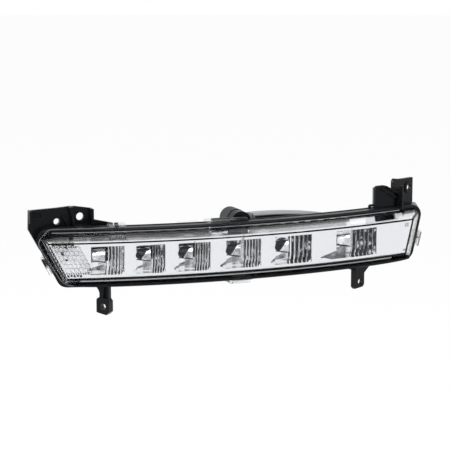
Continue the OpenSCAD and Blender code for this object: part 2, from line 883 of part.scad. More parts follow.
// One-piece metallised reflector: six fluted cups in a swept face
module reflector() {
  color(chrome)
    difference() {
      union() {
        difference() {
          intersection() {
            band(reflector_d, reflector_skirt_d, -rim_bottom, rim_top);
            outline_bar(reflector_inset);
          }
          intersection() {
            band(reflector_d + reflector_t, reflector_skirt_d + over, -rim_bottom, rim_top);
            outline_bar(reflector_inset + reflector_t);
          }
        }
        // Sloping edge that follows the lens wall down to the channel
        difference() {
          intersection() {
            lens_form(lens_t + flange_gap);
            band(reflector_d, rim_front_d - gap, -rim_bottom, rim_top);
          }
          lens_form(lens_t + flange_gap + flange_t);
        }
        // Outsides of the cups, kept behind the face
        intersection() {
          union() {
            for (i = cups) {
              translate([0, 0, cup_bottom - reflector_t / 2])
                linear_extrude(cup_top - cup_bottom + 1.5 * reflector_t)
                  cup_plan(i, cup_wall);
              cup_wedge(i, reflector_t);
            }
          }
          band(reflector_d + reflector_t / 2, sink_d - circuit_t - gap, -rim_bottom, rim_top);
        }
        // Posts that carry the reflector on the back of the housing
        for (x = reflector_screw_x) {
          at_x(x)
            translate([0, reflector_d + reflector_t / 2, 0])
              rotate([-90, 0, 0])
                cylinder(r = post_r, h = housing_d - housing_t - 1 - reflector_d - reflector_t / 2);
        }
      }
      for (i = cups) {
        translate([0, 0, cup_bottom])
          linear_extrude(cup_top - cup_bottom)
            cup_plan(i);
        cup_flutes(i);
        cup_wedge(i);
        // Window for the light source
        translate([cup_left[i] - 6, plan_y(cup_left[i], reflector_d) + source_back[i], source_z])
          rotate([0, 90, 0])
            cylinder(r = aperture_r, h = 7);
      }
      for (x = reflector_screw_x) {
        at_x(x)
          translate([0, housing_d - housing_t - 11, 0])
            rotate([-90, 0, 0])
              cylinder(r = self_tap_r + 0.05, h = 12);
      }
      // Seat for the clear end optic
      at_optic()
        plate(-over, optic_t)
          optic_outline(-gap);
    }
  color(chrome)
    for (i = cups) {
      cup_shade(i);
    }
}

// Clear plate with small lenses at the inner end of the lamp
optic_x = -127.4;
optic_w = 21;
optic_t = 0.9;
optic_pitch = 3.35;
optic_bump_r = 2.4;
optic_bump_sink = 1.7;

module at_optic() {
  at_x(optic_x, reflector_d)
    translate([0, 0.1, 0])
      children();
}

module optic_outline(inset = 0) {
  lean = tan(left_slant);
  polygon([
    [-optic_w / 2 - lean * 10.6 + inset, 10.6 - inset], [optic_w / 2 - lean * 10.6 - inset, 10.6 - inset],
    [optic_w / 2 + lean * 12 - inset, inset - 12], [-optic_w / 2 + lean * 12 + inset, inset - 12]
  ]);
}

module end_optic() {
  color(clear)
    at_optic() {
      plate(0, optic_t)
        optic_outline();
      for (row = [0 : 5], col = [0 : 5]) {
        z = 8.2 - row * optic_pitch;
        translate([(col - 2.5) * optic_pitch - tan(left_slant) * z, optic_bump_sink, z])
          intersection() {
            sphere(optic_bump_r, $fn = 48);
            translate([-3, -3, -3])
              cube([6, 3 - optic_bump_sink + optic_t / 2, 6]);
          }
      }
    }
}

// Tab that carries one light source on the heat sink: stations along X
function tab_face(i) = cup_left[i] - cup_wall - 2 * gap;
tab_t = 1.5;

module tab_sheet(i, x0, x1, front, z0, z1) {
  y0 = plan_y(cup_left[i], reflector_d) + front;
  intersection() {
    translate([x0, y0, z0])
      cube([x1 - x0, 60, z1 - z0]);
    band(0, sink_d + sink_t / 2, z0 - over, z1 + over);
  }
}

// Folded aluminium strip with six tabs
module heat_sink() {
  color(aluminium)
    difference() {
      union() {
        intersection() {
          band(sink_d, sink_d + sink_t, -11, 11);
          along_y()
            translate([sink_left, -11])
              square([sink_right - sink_left, 22]);
        }
        for (i = cups) {
          tab_sheet(i, tab_face(i) - tab_t, tab_face(i), reflector_t + 0.8, -4.4, 8);
        }
      }
      // Slot for the link pins
      at_sweep(driver_angle, sink_d)
        translate([-7.5, -over, link_z - 1.4])
          cube([15, sink_t + 2 * over, 2.8]);
      for (x = sink_screw_x) {
        at_x(x)
          translate([0, sink_d - over, sink_screw_z])
            rotate([-90, 0, 0])
              cylinder(r = self_tap_r + 0.4, h = sink_t + 2 * over);
      }
    }
}

// Flexible circuit on the heat sink: one long strip and six flaps
module led_circuit() {
  color([0.75, 0.5, 0.15])
    intersection() {
      union() {
        intersection() {
          band(sink_d - circuit_t, sink_d, -9.5, -2.5);
          along_y()
            translate([sink_left + 3, -12])
              square([tab_face(5) + 18 - sink_left, 24]);
        }
        for (i = cups) {
          tab_sheet(i, tab_face(i), tab_face(i) + circuit_t, reflector_t + 1.2, -4.2, 7.5);
        }
      }
      difference() {
        band(0, sink_d, -20, 20);
        // Folded sheet steps round the tabs
        for (i = cups) {
          tab_sheet(i, tab_face(i) - tab_t, tab_face(i), 0, -7, 9);
        }
      }
    }
}

// Surface-mounted light source that shines to the right
module led(i) {
  body = 3.4;
  body_h = 1.1;
  color([0.95, 0.93, 0.75])
    translate([tab_face(i) + circuit_t, plan_y(cup_left[i], reflector_d) + source_back[i], source_z]) {
      translate([0, -body / 2, -body / 2])
        cube([body_h, body, body]);
      intersection() {
        translate([body_h - 0.1, 0, 0])
          sphere(1.3);
        translate([body_h - 0.1, -2, -2])
          cube(4);
      }
    }
}

// Rigid driver board in the well
board_y = 3;
board_t = 1.6;

module driver_board() {
  color([0.1, 0.35, 0.2])
    at_driver()
      difference() {
        plate(board_y, board_y + board_t)
          difference() {
            translate([-cover_w / 2 + well_t + 0.4, -cover_bottom + well_t + 0.4])
              square([cover_w - 2 * well_t - 0.8, cover_bottom + cover_top - 14]);
            for (p = screw_places) {
              translate(p)
                circle(screw_boss_r + gap);
            }
          }
        for (k = link_row) {
          translate([k * link_pitch, 0, link_z])
            rotate([-90, 0, 0])
              cylinder(r = 0.5, h = 10);
        }
      }
}

// Row of pins that links the driver board with the flexible circuit
module link_pins() {
  color([0.8, 0.7, 0.35])
    at_driver()
      for (k = link_row) {
        translate([k * link_pitch, board_y + board_t + 1.2, link_z])
          rotate([90, 0, 0])
            cylinder(r = 0.4, h = board_y + board_t + 1.2 + housing_d - sink_d - 0.05);
      }
}

module driver_coil() {
  color([0.15, 0.15, 0.16])
    at_driver()
      translate([14, board_y + board_t, 0]) {
        plate(0, 1)
          square([10, 10], center = true);
        rotate([-90, 0, 0])
          cylinder(r = 4.4, h = 5);
      }
}

module driver_chips() {
  color([0.08, 0.08, 0.09])
    at_driver()
      for (p = [[15 - cover_w / 2, 4, 7], [19 - cover_w / 2, -8, 5], [cover_w / 2 - 13.5, -9, 4]]) {
        translate([p[0], board_y + board_t, p[1]])
          plate(0, 1.5)
            square([p[2], p[2]], center = true);
      }
}

module driver_capacitors() {
  color([0.7, 0.7, 0.72])
    at_driver()
      for (x = [-4, 4]) {
        translate([x, board_y + board_t, 5.5])
          rotate([-90, 0, 0])
            cylinder(r = 3.15, h = 5.4);
      }
}

module cover_gasket() {
  color([0.12, 0.12, 0.12])
    at_driver()
      difference() {
        plate(well_h, well_h + gasket_t)
          difference() {
            cover_outline(0.3);
            cover_outline(well_t - 0.3);
            for (p = screw_places) {
              translate(p)
                circle(screw_boss_r + 0.2);
            }
          }
      }
}

// Cast cover over the driver, with an arched top and fins on its back
module driver_cover() {
  base = well_h + gasket_t;
  fin_h = 3;
  // The back face of the housing bends away from the flat skirt
  skirt_from = pow(cover_w / 2 + gap + skirt_t, 2) / (2 * (sweep_r - housing_d)) + 2 * gap;
  color(aluminium)
    at_driver()
      difference() {
        union() {
          difference() {
            plate(base, base + cover_h)
              cover_outline();
            plate(base - over, base + cover_h - cover_t)
              cover_outline(cover_t);
          }
          // Skirt round the well
          difference() {
            plate(skirt_from, base + skirt_t)
              cover_outline(-gap - skirt_t);
            plate(skirt_from - over, base)
              cover_outline(-gap);
            plate(base - over, base + skirt_t + over)
              cover_outline(cover_t);
          }
          for (p = screw_places) {
            translate([p[0], base - gasket_t, p[1]])
              rotate([-90, 0, 0])
                cylinder(r = screw_boss_r, h = cover_h + gasket_t);
          }
          for (k = [-4 : 4]) {
            translate([k * 4.6 - 0.7, base + cover_h - 0.1, -cover_bottom + 3])
              cube([1.4, fin_h, cover_bottom + cover_top - 12]);
          }
        }
        for (p = screw_places) {
          translate([p[0], base - gasket_t - over, p[1]])
            rotate([-90, 0, 0])
              cylinder(r = cover_screw_r + 0.2, h = cover_h + 3 * over);
        }
      }
}

// A pan-head screw along Y: the head's underside is at the origin and the shank points to -Y
module screw(r, l, head_r, head_h) {
  rotate([90, 0, 0])
    cylinder(r = r, h = l);
  difference() {
    rotate([-90, 0, 0])
      cylinder(r = head_r, h = head_h);
    translate([0, head_h - 1.1, 0])
      rotate([-90, 0, 0])
        cylinder(r = head_r * 0.45, h = 3, $fn = 6);
  }
}

module cover_screws() {
  color([0.55, 0.56, 0.58])
    at_driver()
      for (p = screw_places) {
        translate([p[0], well_h + gasket_t + cover_h, p[1]])
          screw(cover_screw_r - 0.3, cover_h + gasket_t + 6, 2.9, 2.2);
      }
}

module heat_sink_screws() {
  color([0.55, 0.56, 0.58])
    for (x = sink_screw_x) {
      at_x(x)
        translate([0, sink_d, sink_screw_z])
          rotate([0, 0, 180])
            screw(self_tap_r, housing_d - sink_d - 1.6, 2.6, 1.8);
    }
}

module reflector_screws() {
  color([0.55, 0.56, 0.58])
    for (x = reflector_screw_x) {
      at_x(x)
        translate([0, housing_d + 0.04, 0])
          screw(self_tap_r, 11, 3, 2.2);
    }
}

// Rubber cap that breathes through notches in its skirt
module vent_cap() {
  color([0.05, 0.05, 0.05])
    at_x(vent_x)
      translate([0, vent_boss_d + gap, vent_z])
        rotate([-90, 0, 0])
          difference() {
            cylinder(r = vent_r, h = vent_l);
            translate([0, 0, -over])
              cylinder(r = spigot_r + 0.05, h = spigot_d - vent_boss_d - gap + over);
            translate([0, 0, -over])
              cylinder(r = spigot_r - 0.6, h = spigot_d - vent_boss_d + 2.4 + over);
            for (a = [0 : 60 : 300]) {
              rotate([0, 0, a])
                translate([spigot_r - 1, -0.7, -over])
                  cube([vent_r, 1.4, 1.6 + over]);
            }
          }
}

module vent_membrane() {
  color([0.92, 0.92, 0.9])
    at_x(vent_x)
      translate([0, membrane_d, vent_z])
        rotate([-90, 0, 0])
          cylinder(r = membrane_r - 0.1, h = 0.3);
}

// Outline of the connector socket
module socket_outline(inset = 0) {
  w = socket_w / 2 - inset;
  h = socket_h / 2 - inset;
  rounded([[-w, -h], [w, -h], [w, h], [-w, h]], 2.2 - min(inset, 1));
}

// Shrouded socket that takes the car's plug
module connector_socket() {
  base_t = 4;
  wall = 1.6;
  color([0.7, 0.71, 0.72])
    at_x(socket_x, housing_d)
      translate([0, 0.2, socket_z])
        difference() {
          union() {
            plate(0, socket_l)
              socket_outline();
            plate(0, 2.4)
              rounded([[-socket_w / 2 - 2, -socket_h / 2 - 1.5], [socket_w / 2 + 2, -socket_h / 2 - 1.5],
                [socket_w / 2 + 2, socket_h / 2 + 1], [-socket_w / 2 - 2, socket_h / 2 + 1]], 2);
            // Catch for the plug
            translate([-2.5, socket_l - 7, -socket_h / 2 - 1.4])
              cube([5, 4, 1.6]);
          }
          plate(base_t, socket_l + over)
            socket_outline(wall);
          for (k = [-1 : 1]) {
            translate([k * 5 - 1.4, -over, -0.4])
              cube([2.8, base_t + 2 * over, 0.8]);
          }
        }
}

module terminals() {
  color([0.8, 0.7, 0.35])
    at_x(socket_x, housing_d)
      translate([0, 0.2, socket_z])
        for (k = [-1 : 1]) {
          translate([k * 5 - 1.4, -3, -0.4])
            cube([2.8, socket_l - 2, 0.8]);
        }
}

housing();
outer_lens();
lens_seal();
reflector();
end_optic();
heat_sink();
led_circuit();
led(0);  // led_1
led(1);  // led_2
led(2);  // led_3
led(3);  // led_4
led(4);  // led_5
led(5);  // led_6
driver_board();
driver_coil();
driver_chips();
driver_capacitors();
link_pins();
driver_cover();
cover_gasket();
cover_screws();
heat_sink_screws();
reflector_screws();
vent_cap();
vent_membrane();
connector_socket();
terminals();
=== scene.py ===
"""Looks of a swept daytime running light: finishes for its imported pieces, trim, studio and camera."""

import math

import bpy
import numpy as np
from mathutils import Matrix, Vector


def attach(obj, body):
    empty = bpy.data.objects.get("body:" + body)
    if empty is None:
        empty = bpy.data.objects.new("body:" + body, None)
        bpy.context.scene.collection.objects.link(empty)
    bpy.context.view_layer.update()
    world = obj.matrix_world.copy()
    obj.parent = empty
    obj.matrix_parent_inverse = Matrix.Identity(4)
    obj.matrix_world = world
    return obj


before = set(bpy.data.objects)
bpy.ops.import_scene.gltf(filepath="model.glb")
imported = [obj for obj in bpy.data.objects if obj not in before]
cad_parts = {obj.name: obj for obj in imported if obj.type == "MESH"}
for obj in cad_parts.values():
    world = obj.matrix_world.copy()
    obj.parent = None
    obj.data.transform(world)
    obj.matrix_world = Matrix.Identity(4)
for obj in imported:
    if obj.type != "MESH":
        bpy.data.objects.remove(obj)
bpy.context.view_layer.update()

bl_info = {
    "name": "Daytime Running Light Looks",
    "version": (1, 0, 0),
    "blender": (4, 5, 0),
    "location": "3D View > Sidebar > Lamp",
    "description": "Finishes, trim, studio and camera for a swept daytime running light",
    "category": "Object",
}

MM = 0.001
# The lens front is an arc in plan: its radius and centre, in metres
SWEEP_R = 0.540
SWEEP_MID = math.radians(20.7)
SWEEP_X = -SWEEP_R * math.sin(SWEEP_MID)
SWEEP_Y = SWEEP_R * math.cos(SWEEP_MID)
# The slanted left end: X of its dimpled field's middle in millimetres, its lean for each unit of height,
# and its stretch along the sweep
END_X = -127.4
END_LEAN = math.tan(math.radians(27.4))
END_STRETCH = 1.007
# Depth of the housing's back behind the lens front, in millimetres
HOUSING_D = 34.0

# The inputs of a cup's tone of painted reflection and shade, with their defaults; lengths are in millimetres.
# Left is its left wall and Right its right edge. The flutes start at Flutes from, Spacing apart; Duty is the
# bright share of a flute, whose grooves are painted dark, and Bend the bend of the flutes. Filled is 1 for a
# shade painted dark and 0 for a light one. Tip and Slope are the length and slope of the painted dark pointed
# floor, and Ribs is the strength of the painted fine ribs
CUP_INPUTS = {
    "Left": 0.0, "Right": 20.0, "Spacing": 3.0, "Flutes from": 8.0, "Duty": 0.4,
    "Filled": 1.0, "Tip": 3.0, "Slope": 0.5, "Ribs": 0.5, "Bend": 0.05,
}
# The six cups from the left, in the order of those inputs
CUPS = (
    (-113.5, -87.7, 2.72, -103.0, 0.60, 0.0, 3.0, 0.30, 0.7, 0.012),
    (-78.7, -56.2, 2.11, -67.4, 0.44, 1.0, 1.0, 0.42, 0.9, 0.012),
    (-46.0, -21.0, 2.11, -33.2, 0.48, 1.0, 3.0, 0.42, 0.9, 0.012),
    (-8.7, 19.0, 2.38, 5.4, 0.47, 1.0, 5.1, 0.46, 0.85, 0.014),
    (30.4, 60.0, 3.4, 41.0, 0.28, 1.0, 3.6, 0.40, 0.35, 0.02),
    (80.5, 114.7, 3.4, 93.4, 0.17, 0.0, 13.2, 0.27, 0.5, 0.03),
)

# Finishes with a fixed colour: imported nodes, finish, colour, roughness, and what differs from the usual grain
PLAIN_FINISHES = (
    (("lens_seal",), "sealant", (0.02, 0.02, 0.022), 0.5, {"scale": 500, "depth": 0.3}),
    (("heat_sink",), "sheet_aluminium", (0.72, 0.73, 0.75), 0.34,
     {"scale": 1600, "depth": 0.1, "metallic": 1.0}),
    (("led_circuit",), "circuit_film", (0.45, 0.24, 0.05), 0.3, {"scale": 800, "depth": 0.05}),
    (tuple(f"led_{number}" for number in range(1, 7)), "light_source", (0.9, 0.82, 0.45), 0.4,
     {"scale": 700, "depth": 0.05}),
    (("driver_board",), "circuit_board", (0.02, 0.16, 0.07), 0.35,
     {"scale": 900, "depth": 0.1, "mottle": 0.3}),
    (("driver_coil",), "ferrite", (0.03, 0.03, 0.032), 0.6, {"scale": 1200, "depth": 0.3}),
    (("driver_chips",), "chip_plastic", (0.015, 0.015, 0.016), 0.45, {"scale": 2000, "depth": 0.1}),
    (("driver_capacitors",), "capacitor_can", (0.78, 0.79, 0.8), 0.25, {"metallic": 1.0, "depth": 0.03}),
    (("link_pins", "terminals"), "contact_metal", (0.8, 0.7, 0.42), 0.25, {"metallic": 1.0, "depth": 0.03}),
    (("cover_gasket",), "gasket_rubber", (0.015, 0.015, 0.015), 0.7, {}),
    (("cover_screws", "heat_sink_screws", "reflector_screws"), "screw_steel", (0.6, 0.6, 0.6), 0.3,
     {"metallic": 1.0, "scale": 600, "depth": 0.1}),
    (("vent_membrane",), "membrane", (0.88, 0.88, 0.86), 0.8, {"scale": 3000, "depth": 0.2}),
    (("connector_socket",), "grey_plastic", (0.52, 0.53, 0.54), 0.4, {"scale": 1300, "depth": 0.12}),
)


def colour_setting(name, description, default):
    """A colour that a user may change."""
    return bpy.props.FloatVectorProperty(
        name=name, description=description, subtype="COLOR", size=3, default=default, min=0, max=1)


class LampFinish(bpy.types.PropertyGroup):
    """Colours and gloss of the lamp's finishes"""

    black: colour_setting("Black plastic", "Colour of the moulded housing", (0.005, 0.0055, 0.0072))
    black_gloss: bpy.props.FloatProperty(
        name="Black roughness", description="Roughness of the moulded housing",
        default=0.3, min=0, max=1, subtype="FACTOR")
    bright: colour_setting("Bright coat", "Colour of the metallised reflector", (0.855, 0.862, 0.878))
    # The dark of painted reflection and shade on the bright coat, in the flute grooves and elsewhere
    painted_dark: colour_setting("Painted dark", "Colour of the reflections and shade painted on the bright coat", (0.0135, 0.015, 0.0185))
    clear: colour_setting("Clear plastic", "Tint of the outer lens", (0.985, 0.99, 0.995))
    cast: colour_setting("Cast cover", "Colour of the driver cover", (0.25, 0.257, 0.27))
    rubber: colour_setting("Rubber", "Colour of the vent cap", (0.008, 0.0083, 0.0092))


class LampStudio(bpy.types.PropertyGroup):
    """Camera, floor and light"""

    distance: bpy.props.FloatProperty(
        name="Camera distance", description="From the camera to the point it looks at",
        default=1.534, min=0.5, max=5, unit="LENGTH")
    elevation: bpy.props.FloatProperty(
        name="Camera elevation", description="Angle above the horizon",
        default=math.radians(10), min=-1.5, max=1.5, subtype="ANGLE")
    aim: bpy.props.FloatVectorProperty(
        name="Aim", description="Point that the camera looks at", size=3,
        default=(-0.0095, 0.0198, 0.0115), subtype="XYZ", unit="LENGTH")
    lens: bpy.props.FloatProperty(
        name="Focal length", description="Focal length on a 36 mm sensor",
        default=153.92, min=20, max=400)
    shift: bpy.props.FloatProperty(
        name="Vertical shift", description="Camera shift, as a share of the frame",
        default=0.02222, min=-0.2, max=0.2)
    floor_z: bpy.props.FloatProperty(
        name="Floor height", description="Height of the floor below the lamp's centre",
        default=-0.30, min=-2, max=-0.05, unit="LENGTH")
    sky: bpy.props.FloatProperty(
        name="Room light", description="Strength of the even light from all round",
        default=0.62, min=0, max=2)
    key: bpy.props.FloatProperty(
        name="Key light", description="Power of the large soft lamp",
        default=16, min=0, max=200)


class Graph:
    """Adds nodes to a tree and joins them in short lines."""

    def __init__(self, tree):
        self.tree = tree
        self.column = 0

    def add(self, kind, inputs=None, **settings):
        node = self.tree.nodes.new(kind)
        node.location = (self.column * 180, 0)
        self.column += 1
        for name, value in settings.items():
            setattr(node, name, value)
        self.fill(node, inputs or {})
        return node

    def fill(self, node, inputs):
        """Sets a node's inputs: a socket is joined, and any other value is written."""
        for name, value in inputs.items():
            if isinstance(value, bpy.types.NodeSocket):
                self.tree.links.new(value, node.inputs[name])
            else:
                node.inputs[name].default_value = value

    def math(self, operation, a, b=0.0, clamp=False):
        return self.add("ShaderNodeMath", {0: a, 1: b}, operation=operation, use_clamp=clamp).outputs[0]

    def fold(self, operation, values):
        result = values[0]
        for value in values[1:]:
            result = self.math(operation, result, value)
        return result

    def mul(self, *values):
        return self.fold("MULTIPLY", values)

    def plus(self, *values):
        return self.fold("ADD", values)

    def most(self, *values):
        return self.fold("MAXIMUM", values)

    def sub(self, a, b):
        return self.math("SUBTRACT", a, b)

    def square(self, value):
        return self.mul(value, value)

    def length(self, a, b):
        """Length of the vector of two numbers."""
        return self.math("SQRT", self.plus(self.square(a), self.square(b)))

    def off_middle(self, value):
        """Distance of a number's fraction from one half: 0.5 at whole numbers, and 0 half way between."""
        return self.math("ABSOLUTE", self.sub(self.math("FRACT", value), 0.5))

    def ramp(self, value, low, high, out_low=0.0, out_high=1.0):
        """Smooth step from out_low to out_high as value goes from low to high."""
        inputs = {"Value": value, "From Min": low, "From Max": high, "To Min": out_low, "To Max": out_high}
        return self.add("ShaderNodeMapRange", inputs, interpolation_type="SMOOTHSTEP").outputs["Result"]

    def window(self, value, low, full_from, full_to, high):
        """1 from full_from to full_to, and 0 below low and above high, with smooth steps."""
        return self.mul(self.ramp(value, low, full_from), self.ramp(value, high, full_to))

    def mix(self, factor, a, b):
        node = self.add("ShaderNodeMix", {0: factor, 6: a, 7: b}, data_type="RGBA", clamp_factor=True)
        return node.outputs[2]

    def place(self):
        """Object coordinates, in metres."""
        return self.add("ShaderNodeTexCoord").outputs["Object"]

    def scaled(self, vector, factors):
        return self.add("ShaderNodeVectorMath", {0: vector, 1: factors}, operation="MULTIPLY").outputs[0]

    def x_and_z(self, place):
        """X and Z of a place, in millimetres."""
        parts = self.add("ShaderNodeSeparateXYZ", {0: self.scaled(place, (1 / MM, 1 / MM, 1 / MM))})
        return parts.outputs["X"], parts.outputs["Z"]

    def along_end(self, x, z):
        """Distance from the middle line of the slanted left end, in millimetres."""
        return self.plus(self.mul(self.sub(x, END_X), END_STRETCH), self.mul(z, END_LEAN))

    def noise(self, place, scale, detail):
        inputs = {"Vector": place, "Scale": scale, "Detail": detail}
        return self.add("ShaderNodeTexNoise", inputs).outputs["Fac"]

    def group(self, name, inputs=None):
        return self.add("ShaderNodeGroup", inputs, node_tree=bpy.data.node_groups[name])

    def seen(self):
        """1 for rays from the camera, from gloss and through glass."""
        path = self.add("ShaderNodeLightPath").outputs
        return self.most(path["Is Camera Ray"], self.most(path["Is Glossy Ray"], path["Is Transmission Ray"]))


def new_group(name, inputs, outputs):
    """Starts a node group. Inputs are numbers with their defaults, and outputs are numbers, or a normal."""
    tree = bpy.data.node_groups.new(name, "ShaderNodeTree")
    for label, default in inputs.items():
        socket = tree.interface.new_socket(name=label, in_out="INPUT", socket_type="NodeSocketFloat")
        socket.default_value = default
    for label in outputs:
        kind = "NodeSocketVector" if label == "Normal" else "NodeSocketFloat"
        tree.interface.new_socket(name=label, in_out="OUTPUT", socket_type=kind)
    graph = Graph(tree)
    return graph, graph.add("NodeGroupInput").outputs, graph.add("NodeGroupOutput")


def grain_group():
    """Moulded grain: two sizes of noise on Object coordinates.

    The fine one is put out as a bumped normal, and the broad one as a small change of roughness and a mottle.
    """
    g, a, result = new_group(
        "moulded_grain", {"Scale": 900.0, "Depth": 0.15, "Roughness": 0.4, "Spread": 0.1},
        ("Normal", "Roughness", "Mottle"))
    place = g.place()
    fine = g.noise(place, a["Scale"], 4.0)
    broad = g.noise(place, 28.0, 3.0)
    bump = g.add("ShaderNodeBump", {"Strength": a["Depth"], "Distance": 0.0002, "Height": fine})
    shift = g.mul(g.sub(broad, 0.5), a["Spread"])
    rough = g.math("ADD", a["Roughness"], shift, clamp=True)
    g.fill(result, {"Normal": bump.outputs["Normal"], "Roughness": rough, "Mottle": broad})


def cup_group():
    """Tone of one cup on Object coordinates in millimetres: 0 is bright, and 1 is the dark painted in its
    grooves and elsewhere as reflection and shade.

    Flutes: the distance to the nearest ridge, as a share of half the spacing, is compared with the duty,
    and the ridges bend left below bend_z by a square law. The field ends at Right, its lower corner rounded.
    The grooves between the ridges are painted dark reflections.
    Shade: an ellipse cut by a slanting line, filled where Filled is 1, and outlined as a box where it is 0;
    both are painted reflection and shade on the hood over the LED.
    Floor: a pointed wedge of painted shade that rises to the right from its tip, taller on surfaces behind the
    face.
    Ribs: fine upright dark lines under the shade, painted shade.
    """
    g, a, result = new_group("cup_painted_dark", {"Before": 0.0, **CUP_INPUTS}, ("Tone",))
    face_d = 7.0
    bend_z = -6.0
    corner_r, corner_z = 4.5, -8.6
    shade_x, shade_z, shade_wide, shade_high = 5.8, 1.7, 6.3, 5.2
    slant, slant_from = 1.5, 7.4
    box_x, box_z, box_wide, box_high, box_lean = 6.1, 1.3, 6.3, 6.2, 0.05
    floor_z, floor_t, floor_grow = -9.9, 0.9, 0.26
    ribs_per_mm = 1.15

    place = g.place()
    x, z = g.x_and_z(place)
    patch = g.noise(place, 210.0, 3.0)
    plan = g.scaled(place, (1 / MM, 1 / MM, 0))
    centre = (SWEEP_X / MM, SWEEP_Y / MM, 0)
    axis = g.add("ShaderNodeVectorMath", {0: plan, 1: centre}, operation="DISTANCE").outputs["Value"]
    deep = g.ramp(axis, SWEEP_R / MM - face_d, SWEEP_R / MM - face_d - 0.4)
    across = g.sub(x, a["Left"])
    # Flutes, their grooves painted dark as reflections
    drop = g.most(g.sub(bend_z, z), 0.0)
    bent = g.plus(x, g.mul(g.square(drop), a["Bend"]))
    step = g.math("DIVIDE", g.sub(a["Right"], bent), a["Spacing"])
    ridge = g.mul(g.off_middle(g.plus(step, 0.5)), 2.0)
    wander = g.plus(a["Duty"], g.mul(g.sub(patch, 0.5), 0.5))
    painted_dark = g.ramp(g.sub(ridge, wander), -0.16, 0.16)
    to_side = g.most(g.sub(corner_r, g.sub(a["Right"], x)), 0.0)
    to_foot = g.most(g.sub(corner_z, z), 0.0)
    corner = g.length(to_side, to_foot)
    field = g.mul(
        g.ramp(g.sub(bent, a["Flutes from"]), -0.4, 0.4), g.ramp(corner, corner_r, corner_r - 0.5),
        g.window(z, -13.2, -12.4, 9.3, 9.9))
    flutes = g.mul(painted_dark, field, g.ramp(patch, 0.30, 0.46, 0.35, 1.0))
    # Shade: painted reflection and shade on the hood
    ex = g.math("DIVIDE", g.sub(across, shade_x), shade_wide)
    ez = g.math("DIVIDE", g.sub(z, shade_z), shade_high)
    blob = g.ramp(g.plus(g.square(ex), g.square(ez)), 1.08, 0.92)
    above_slant = g.sub(z, g.sub(g.mul(across, slant), slant_from))
    blob = g.mul(blob, g.ramp(above_slant, -0.5, 0.5), g.ramp(patch, 0.26, 0.4, 0.55, 1.0))
    bx = g.math("DIVIDE", g.math("ABSOLUTE", g.sub(across, box_x)), box_wide)
    lifted = g.sub(z, g.plus(box_z, g.mul(across, box_lean)))
    bz = g.math("DIVIDE", g.math("ABSOLUTE", lifted), box_high)
    box = g.most(bx, bz)
    inner = g.mul(g.ramp(box, 0.80, 0.7), g.ramp(patch, 0.5, 0.62, 0.0, 0.35))
    outline = g.mul(g.most(g.window(box, 0.80, 0.88, 0.94, 1.02), inner), g.ramp(across, 11.6, 11.0), 0.8)
    shade = g.add("ShaderNodeMix", {0: a["Filled"], 2: outline, 3: blob}, data_type="FLOAT").outputs[0]
    # Pointed floor: painted shade
    from_tip = g.plus(across, a["Tip"])
    line = g.sub(z, g.plus(g.mul(from_tip, a["Slope"]), floor_z))
    thick = g.plus(g.mul(from_tip, floor_grow), floor_t, g.mul(deep, g.mul(a["Tip"], 0.22)))
    floor = g.mul(
        g.ramp(line, 0.15, -0.25), g.ramp(g.plus(line, thick), -0.3, 0.3),
        g.ramp(from_tip, -0.2, 0.6), g.ramp(g.sub(from_tip, a["Tip"]), 12.0, 7.0),
        g.ramp(patch, 0.35, 0.6, 0.92, 0.62))
    # Fine ribs under the shade, up to the flutes: painted shade
    rib = g.ramp(g.off_middle(g.mul(across, ribs_per_mm)), 0.12, 0.3, 0.35, 1.0)
    under = g.mul(
        g.ramp(across, 3.6, 5.2), g.ramp(g.sub(a["Flutes from"], x), -0.8, 0.2),
        g.ramp(above_slant, 0.2, -0.9), g.ramp(z, -12.6, -11.6))
    ribs = g.mul(rib, under, a["Ribs"], g.ramp(patch, 0.3, 0.6, 0.3, 1.0))
    g.fill(result, {"Tone": g.most(a["Before"], flutes, shade, floor, ribs)})


def dimple_group():
    """Tone of the dimpled field at the left end: dark rings on a slanting square pattern, and dashes, all
    painted reflection.

    The place along the row is the distance from the field's middle plus the lean of the row, over the
    spacing; the place across is the height over the spacing. The distance to the nearest crossing gives
    a ring, and a noise leaves some rings out. Dashes run along the slanted edge and both long edges.
    """
    g, a, result = new_group("dimple_painted_dark", {"Spacing": 3.35}, ("Tone",))
    row_z = 8.2
    dash_step, tall_step = 0.55, 0.62
    place = g.place()
    x, z = g.x_and_z(place)
    patch = g.noise(place, 330.0, 3.0)
    along = g.along_end(x, z)
    column = g.plus(g.math("DIVIDE", along, a["Spacing"]), 3.0)
    row = g.plus(g.math("DIVIDE", g.sub(row_z, z), a["Spacing"]), 0.5)
    near = g.length(g.off_middle(column), g.off_middle(row))
    ring = g.mul(g.window(near, 0.26, 0.36, 0.42, 0.5), g.ramp(patch, 0.42, 0.6, 0.0, 0.36))
    field = g.mul(g.window(along, -11.4, -10.6, 6.0, 10.2), g.window(z, -12.0, -11.4, 10.0, 10.6))
    dash = g.ramp(g.off_middle(g.mul(along, dash_step)), 0.22, 0.3)
    edges = g.most(g.window(z, 8.6, 9.2, 10.3, 10.8), g.window(z, -12.4, -11.9, -10.8, -10.2))
    rows = g.mul(dash, edges, g.window(along, -11.6, -10.8, 7.0, 9.0))
    tall = g.ramp(g.off_middle(g.mul(z, tall_step)), 0.2, 0.28)
    side = g.mul(tall, g.window(along, -13.2, -12.7, -11.7, -11.2), g.window(z, -12.6, -12.0, 10.6, 11.2))
    g.fill(result, {"Tone": g.most(g.mul(ring, field), g.mul(g.most(rows, side), 0.85))})


